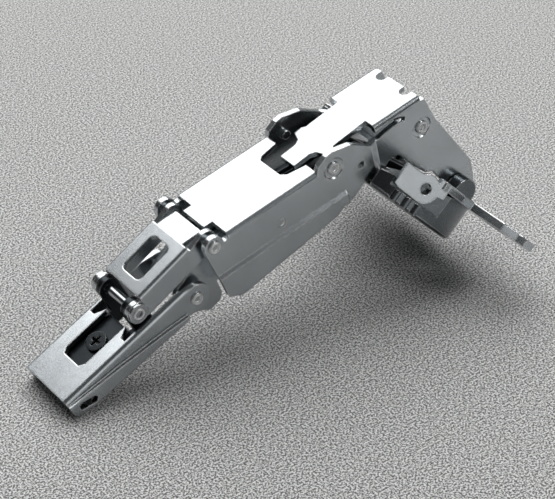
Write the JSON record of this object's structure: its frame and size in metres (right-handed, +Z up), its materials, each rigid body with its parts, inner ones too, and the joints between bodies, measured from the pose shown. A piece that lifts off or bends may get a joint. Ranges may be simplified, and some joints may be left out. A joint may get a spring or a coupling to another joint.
{
  "type": "concealed hinge",
  "caption": "Wide-angle concealed cabinet hinge, fully open: folded arm, link, long goose-neck link and round cup with two screw wings.",
  "frame": {"origin": "centre of the hinge's plan outline, on the surface that it stands on", "axes": "+X from the arm towards the cup, +Y across the hinge, +Z up"},
  "size_m": [0.1007, 0.064, 0.0393],
  "materials": {
    "nickel_plated_steel": "bright nickel plate on folded sheet steel",
    "nickel_plated_rivets": "bright nickel plate on turned steel pins",
    "nickel_plated_casting": "nickel plate on the cast cup",
    "spring_steel": "plain spring wire"
  },
  "bodies": {
    "arm": {"arm_shell": "nickel_plated_steel", "inner_carrier": "nickel_plated_steel", "clip_pin": "nickel_plated_rivets", "rear_link_pin": "nickel_plated_rivets", "lever_pin": "nickel_plated_rivets"},
    "clip": {"clip_lever": "nickel_plated_steel"},
    "cam": {"depth_cam": "nickel_plated_rivets"},
    "window": {"window_link": "nickel_plated_steel"},
    "main": {"main_link": "nickel_plated_steel", "link_pins": "nickel_plated_rivets", "cross_pins": "nickel_plated_rivets", "hump_rivets": "nickel_plated_rivets", "spring_pin": "nickel_plated_rivets", "closing_spring": "spring_steel"},
    "lever": {"inner_lever": "nickel_plated_steel", "tail_pin": "nickel_plated_rivets"},
    "strut": {"cup_link": "nickel_plated_steel"},
    "cup": {"cup_body": "nickel_plated_casting", "flange": "nickel_plated_steel", "cup_pins": "nickel_plated_rivets", "cup_link_pin": "nickel_plated_rivets"}
  },
  "joints": [
    {"name": "arm_to_window_link", "type": "hinge", "parent": "arm", "child": "window", "pos_m": [-0.0328, 0, 0.0166], "axis": [0, -1, 0], "range_deg": [0, 109.7]},
    {"name": "window_link_to_main_link", "type": "hinge", "parent": "window", "child": "main", "pos_m": [-0.01662, 0, 0.02593], "axis": [0, -1, 0], "range_deg": [-91.2, 0]},
    {"name": "main_link_to_cup", "type": "hinge", "parent": "main", "child": "cup", "pos_m": [0.04503, 0, 0.01324], "axis": [0, -1, 0], "range_deg": [0, 144.5]},
    {"name": "arm_to_inner_lever", "type": "hinge", "parent": "arm", "child": "lever", "pos_m": [-0.02004, 0, 0.01463], "axis": [0, -1, 0], "range_deg": [0, 96.6]},
    {"name": "inner_lever_to_cup_link", "type": "hinge", "parent": "lever", "child": "strut", "pos_m": [-0.01102, 0, 0.02298], "axis": [0, -1, 0], "range_deg": [-72.7, 0]},
    {"name": "clip_lever_turn", "type": "hinge", "parent": "arm", "child": "clip", "pos_m": [-0.0456, 0, 0.00246], "axis": [0, -1, 0], "range_deg": [0, 12], "stiffness_Nm_per_rad": 0.01, "springref_deg": -5.73},
    {"name": "depth_cam_turn", "type": "hinge", "parent": "arm", "child": "cam", "pos_m": [-0.03834, 0, 0.00834], "axis": [-0.4384, 0, 0.8988], "range_deg": [-90, 90]}
  ],
  "couplings": [
    {"joint": "window_link_to_main_link", "follows": "arm_to_window_link", "ratio": -0.83086},
    {"joint": "main_link_to_cup", "follows": "arm_to_window_link", "ratio": 1.3169},
    {"joint": "arm_to_inner_lever", "follows": "arm_to_window_link", "ratio": 0.88042},
    {"joint": "inner_lever_to_cup_link", "follows": "arm_to_window_link", "ratio": -0.66259}
  ]
}
